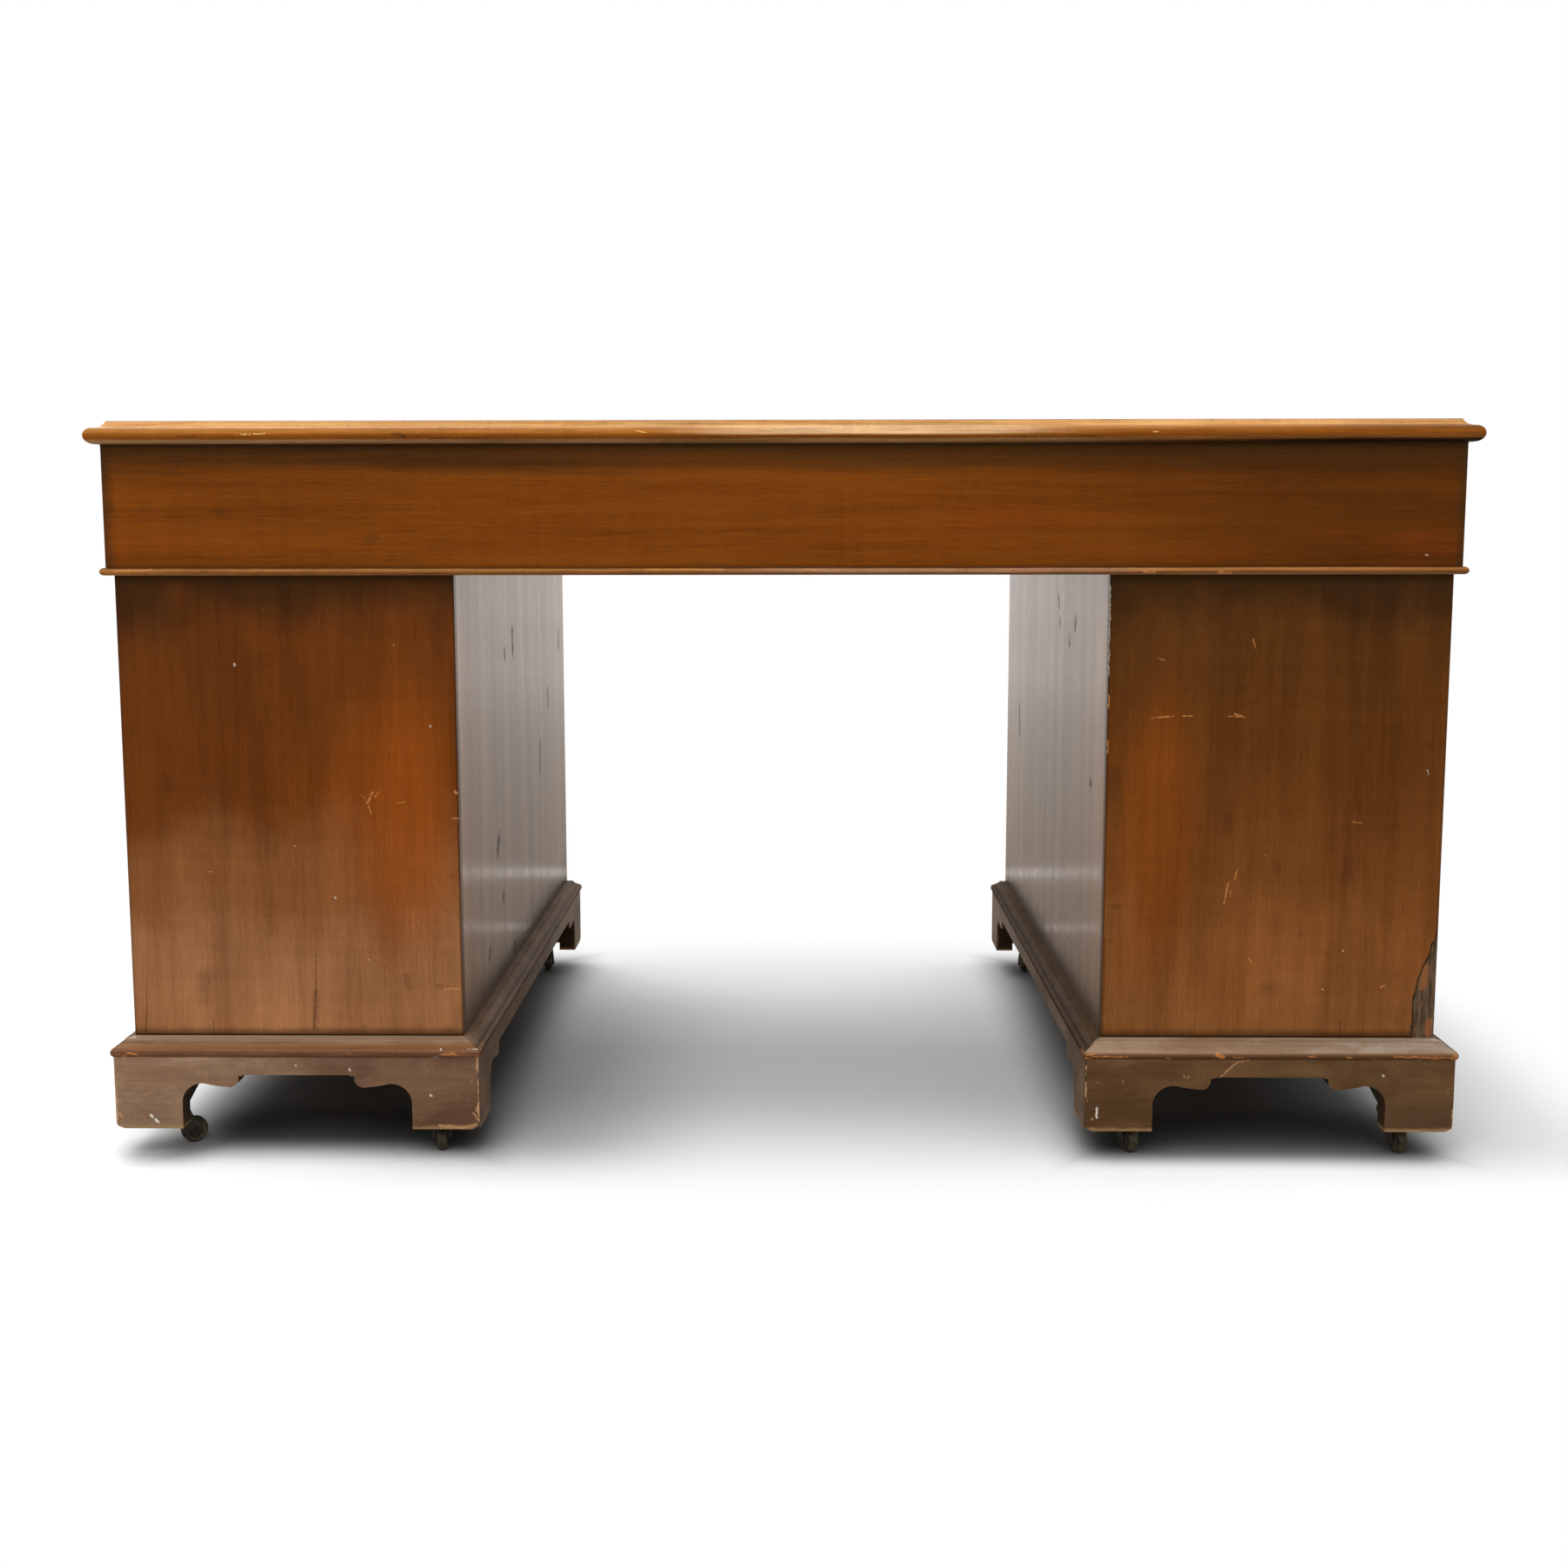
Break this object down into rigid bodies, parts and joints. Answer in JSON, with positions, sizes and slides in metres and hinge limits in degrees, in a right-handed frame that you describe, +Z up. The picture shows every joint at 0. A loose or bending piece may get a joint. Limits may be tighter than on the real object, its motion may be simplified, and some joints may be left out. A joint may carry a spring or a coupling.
{
  "type": "partners desk",
  "caption": "Twin-pedestal writing desk with a moulded leather-lined top, a plain near side, drawers on the far side, a kneehole and shaped bracket plinths on casters.",
  "frame": {"origin": "on the floor, under the middle of the desk's overall box with the drawers shut", "axes": "+X along the desk's length, +Y out of the drawer side (the plain side faces -Y), +Z up"},
  "size_m": [1.4358, 0.924, 0.785],
  "materials": {
    "frieze_veneer": "worn polished mahogany veneer, golden brown",
    "pedestal_veneer": "worn polished mahogany veneer, red-brown",
    "top_wood": "polished mahogany, worn edge",
    "plinth_wood": "dull waxed mahogany, knocked edges",
    "carcass_wood": "plain oak and pine, unpolished",
    "drawer_wood": "plain oak drawer linings",
    "desk_leather": "smooth worn hide",
    "caster_iron": "blackened iron",
    "caster_wheel": "blackened iron, worn tread"
  },
  "bodies": {
    "desk": {"desktop": "top_wood", "writing_leather": "desk_leather", "frieze_back_board": "frieze_veneer", "frieze_ends": "frieze_veneer", "frieze_dividers": "carcass_wood", "frieze_rails": "carcass_wood", "frieze_runners": "carcass_wood", "frieze_bead": "frieze_veneer", "dust_boards": "carcass_wood", "drawer_stops": "carcass_wood", "corner_blocks": "carcass_wood", "caster_plates": "caster_iron", "caster_bells": "caster_iron", "left_pedestal_sides": "pedestal_veneer", "left_pedestal_near_panel": "pedestal_veneer", "left_pedestal_frame": "carcass_wood", "left_plinth_boards": "plinth_wood", "left_plinth_moulding": "plinth_wood", "right_pedestal_sides": "pedestal_veneer", "right_pedestal_near_panel": "pedestal_veneer", "right_pedestal_frame": "carcass_wood", "right_plinth_boards": "plinth_wood", "right_plinth_moulding": "plinth_wood"},
    "left_frieze_drawer": {"left_frieze_drawer_front": "frieze_veneer", "left_frieze_drawer_box": "drawer_wood"},
    "centre_frieze_drawer": {"centre_frieze_drawer_front": "frieze_veneer", "centre_frieze_drawer_box": "drawer_wood"},
    "right_frieze_drawer": {"right_frieze_drawer_front": "frieze_veneer", "right_frieze_drawer_box": "drawer_wood"},
    "left_upper_drawer": {"left_upper_drawer_front": "pedestal_veneer", "left_upper_drawer_box": "drawer_wood"},
    "left_middle_drawer": {"left_middle_drawer_front": "pedestal_veneer", "left_middle_drawer_box": "drawer_wood"},
    "left_lower_drawer": {"left_lower_drawer_front": "pedestal_veneer", "left_lower_drawer_box": "drawer_wood"},
    "right_upper_drawer": {"right_upper_drawer_front": "pedestal_veneer", "right_upper_drawer_box": "drawer_wood"},
    "right_middle_drawer": {"right_middle_drawer_front": "pedestal_veneer", "right_middle_drawer_box": "drawer_wood"},
    "right_lower_drawer": {"right_lower_drawer_front": "pedestal_veneer", "right_lower_drawer_box": "drawer_wood"},
    "left_near_outer_caster_swivel": {"left_near_outer_caster_fork": "caster_iron"},
    "left_near_outer_caster_roller": {"left_near_outer_caster_wheel": "caster_wheel"},
    "left_near_inner_caster_swivel": {"left_near_inner_caster_fork": "caster_iron"},
    "left_near_inner_caster_roller": {"left_near_inner_caster_wheel": "caster_wheel"},
    "left_far_inner_caster_swivel": {"left_far_inner_caster_fork": "caster_iron"},
    "left_far_inner_caster_roller": {"left_far_inner_caster_wheel": "caster_wheel"},
    "left_far_outer_caster_swivel": {"left_far_outer_caster_fork": "caster_iron"},
    "left_far_outer_caster_roller": {"left_far_outer_caster_wheel": "caster_wheel"},
    "right_near_inner_caster_swivel": {"right_near_inner_caster_fork": "caster_iron"},
    "right_near_inner_caster_roller": {"right_near_inner_caster_wheel": "caster_wheel"},
    "right_near_outer_caster_swivel": {"right_near_outer_caster_fork": "caster_iron"},
    "right_near_outer_caster_roller": {"right_near_outer_caster_wheel": "caster_wheel"},
    "right_far_outer_caster_swivel": {"right_far_outer_caster_fork": "caster_iron"},
    "right_far_outer_caster_roller": {"right_far_outer_caster_wheel": "caster_wheel"},
    "right_far_inner_caster_swivel": {"right_far_inner_caster_fork": "caster_iron"},
    "right_far_inner_caster_roller": {"right_far_inner_caster_wheel": "caster_wheel"}
  },
  "joints": [
    {"name": "left_frieze_drawer_slide", "type": "slide", "parent": "desk", "child": "left_frieze_drawer", "axis": [0, 1, 0], "range_m": [0, 0.42]},
    {"name": "centre_frieze_drawer_slide", "type": "slide", "parent": "desk", "child": "centre_frieze_drawer", "axis": [0, 1, 0], "range_m": [0, 0.42]},
    {"name": "right_frieze_drawer_slide", "type": "slide", "parent": "desk", "child": "right_frieze_drawer", "axis": [0, 1, 0], "range_m": [0, 0.42]},
    {"name": "left_upper_drawer_slide", "type": "slide", "parent": "desk", "child": "left_upper_drawer", "axis": [0, 1, 0], "range_m": [0, 0.42]},
    {"name": "left_middle_drawer_slide", "type": "slide", "parent": "desk", "child": "left_middle_drawer", "axis": [0, 1, 0], "range_m": [0, 0.42]},
    {"name": "left_lower_drawer_slide", "type": "slide", "parent": "desk", "child": "left_lower_drawer", "axis": [0, 1, 0], "range_m": [0, 0.42]},
    {"name": "right_upper_drawer_slide", "type": "slide", "parent": "desk", "child": "right_upper_drawer", "axis": [0, 1, 0], "range_m": [0, 0.42]},
    {"name": "right_middle_drawer_slide", "type": "slide", "parent": "desk", "child": "right_middle_drawer", "axis": [0, 1, 0], "range_m": [0, 0.42]},
    {"name": "right_lower_drawer_slide", "type": "slide", "parent": "desk", "child": "right_lower_drawer", "axis": [0, 1, 0], "range_m": [0, 0.42]},
    {"name": "left_near_outer_swivel_turn", "type": "hinge", "parent": "desk", "child": "left_near_outer_caster_swivel", "pos_m": [-0.6655, -0.40955, 0.046], "axis": [0, 0, 1], "continuous": true},
    {"name": "left_near_outer_wheel_spin", "type": "hinge", "parent": "left_near_outer_caster_swivel", "child": "left_near_outer_caster_roller", "pos_m": [-0.65164, -0.40155, 0.0145], "axis": [-0.5, 0.866, 0], "continuous": true},
    {"name": "left_near_inner_swivel_turn", "type": "hinge", "parent": "desk", "child": "left_near_inner_caster_swivel", "pos_m": [-0.374, -0.40955, 0.046], "axis": [0, 0, 1], "continuous": true},
    {"name": "left_near_inner_wheel_spin", "type": "hinge", "parent": "left_near_inner_caster_swivel", "child": "left_near_inner_caster_roller", "pos_m": [-0.3715, -0.42535, 0.0145], "axis": [0.9877, 0.1564, 0], "continuous": true},
    {"name": "left_far_inner_swivel_turn", "type": "hinge", "parent": "desk", "child": "left_far_inner_caster_swivel", "pos_m": [-0.374, 0.39745, 0.046], "axis": [0, 0, 1], "continuous": true},
    {"name": "left_far_inner_wheel_spin", "type": "hinge", "parent": "left_far_inner_caster_swivel", "child": "left_far_inner_caster_roller", "pos_m": [-0.36853, 0.38242, 0.0145], "axis": [0.9397, 0.342, 0], "continuous": true},
    {"name": "left_far_outer_swivel_turn", "type": "hinge", "parent": "desk", "child": "left_far_outer_caster_swivel", "pos_m": [-0.6655, 0.39745, 0.046], "axis": [0, 0, 1], "continuous": true},
    {"name": "left_far_outer_wheel_spin", "type": "hinge", "parent": "left_far_outer_caster_swivel", "child": "left_far_outer_caster_roller", "pos_m": [-0.68054, 0.40292, 0.0145], "axis": [-0.342, -0.9397, 0], "continuous": true},
    {"name": "right_near_inner_swivel_turn", "type": "hinge", "parent": "desk", "child": "right_near_inner_caster_swivel", "pos_m": [0.374, -0.40955, 0.046], "axis": [0, 0, 1], "continuous": true},
    {"name": "right_near_inner_wheel_spin", "type": "hinge", "parent": "right_near_inner_caster_swivel", "child": "right_near_inner_caster_roller", "pos_m": [0.37787, -0.42507, 0.0145], "axis": [0.9703, 0.2419, 0], "continuous": true},
    {"name": "right_near_outer_swivel_turn", "type": "hinge", "parent": "desk", "child": "right_near_outer_caster_swivel", "pos_m": [0.6655, -0.40955, 0.046], "axis": [0, 0, 1], "continuous": true},
    {"name": "right_near_outer_wheel_spin", "type": "hinge", "parent": "right_near_outer_caster_swivel", "child": "right_near_outer_caster_roller", "pos_m": [0.6691, -0.42514, 0.0145], "axis": [0.9744, 0.225, 0], "continuous": true},
    {"name": "right_far_outer_swivel_turn", "type": "hinge", "parent": "desk", "child": "right_far_outer_caster_swivel", "pos_m": [0.6655, 0.39745, 0.046], "axis": [0, 0, 1], "continuous": true},
    {"name": "right_far_outer_wheel_spin", "type": "hinge", "parent": "right_far_outer_caster_swivel", "child": "right_far_outer_caster_roller", "pos_m": [0.68054, 0.40292, 0.0145], "axis": [-0.342, 0.9397, 0], "continuous": true},
    {"name": "right_far_inner_swivel_turn", "type": "hinge", "parent": "desk", "child": "right_far_inner_caster_swivel", "pos_m": [0.374, 0.39745, 0.046], "axis": [0, 0, 1], "continuous": true},
    {"name": "right_far_inner_wheel_spin", "type": "hinge", "parent": "right_far_inner_caster_swivel", "child": "right_far_inner_caster_roller", "pos_m": [0.36853, 0.38242, 0.0145], "axis": [0.9397, -0.342, 0], "continuous": true}
  ]
}
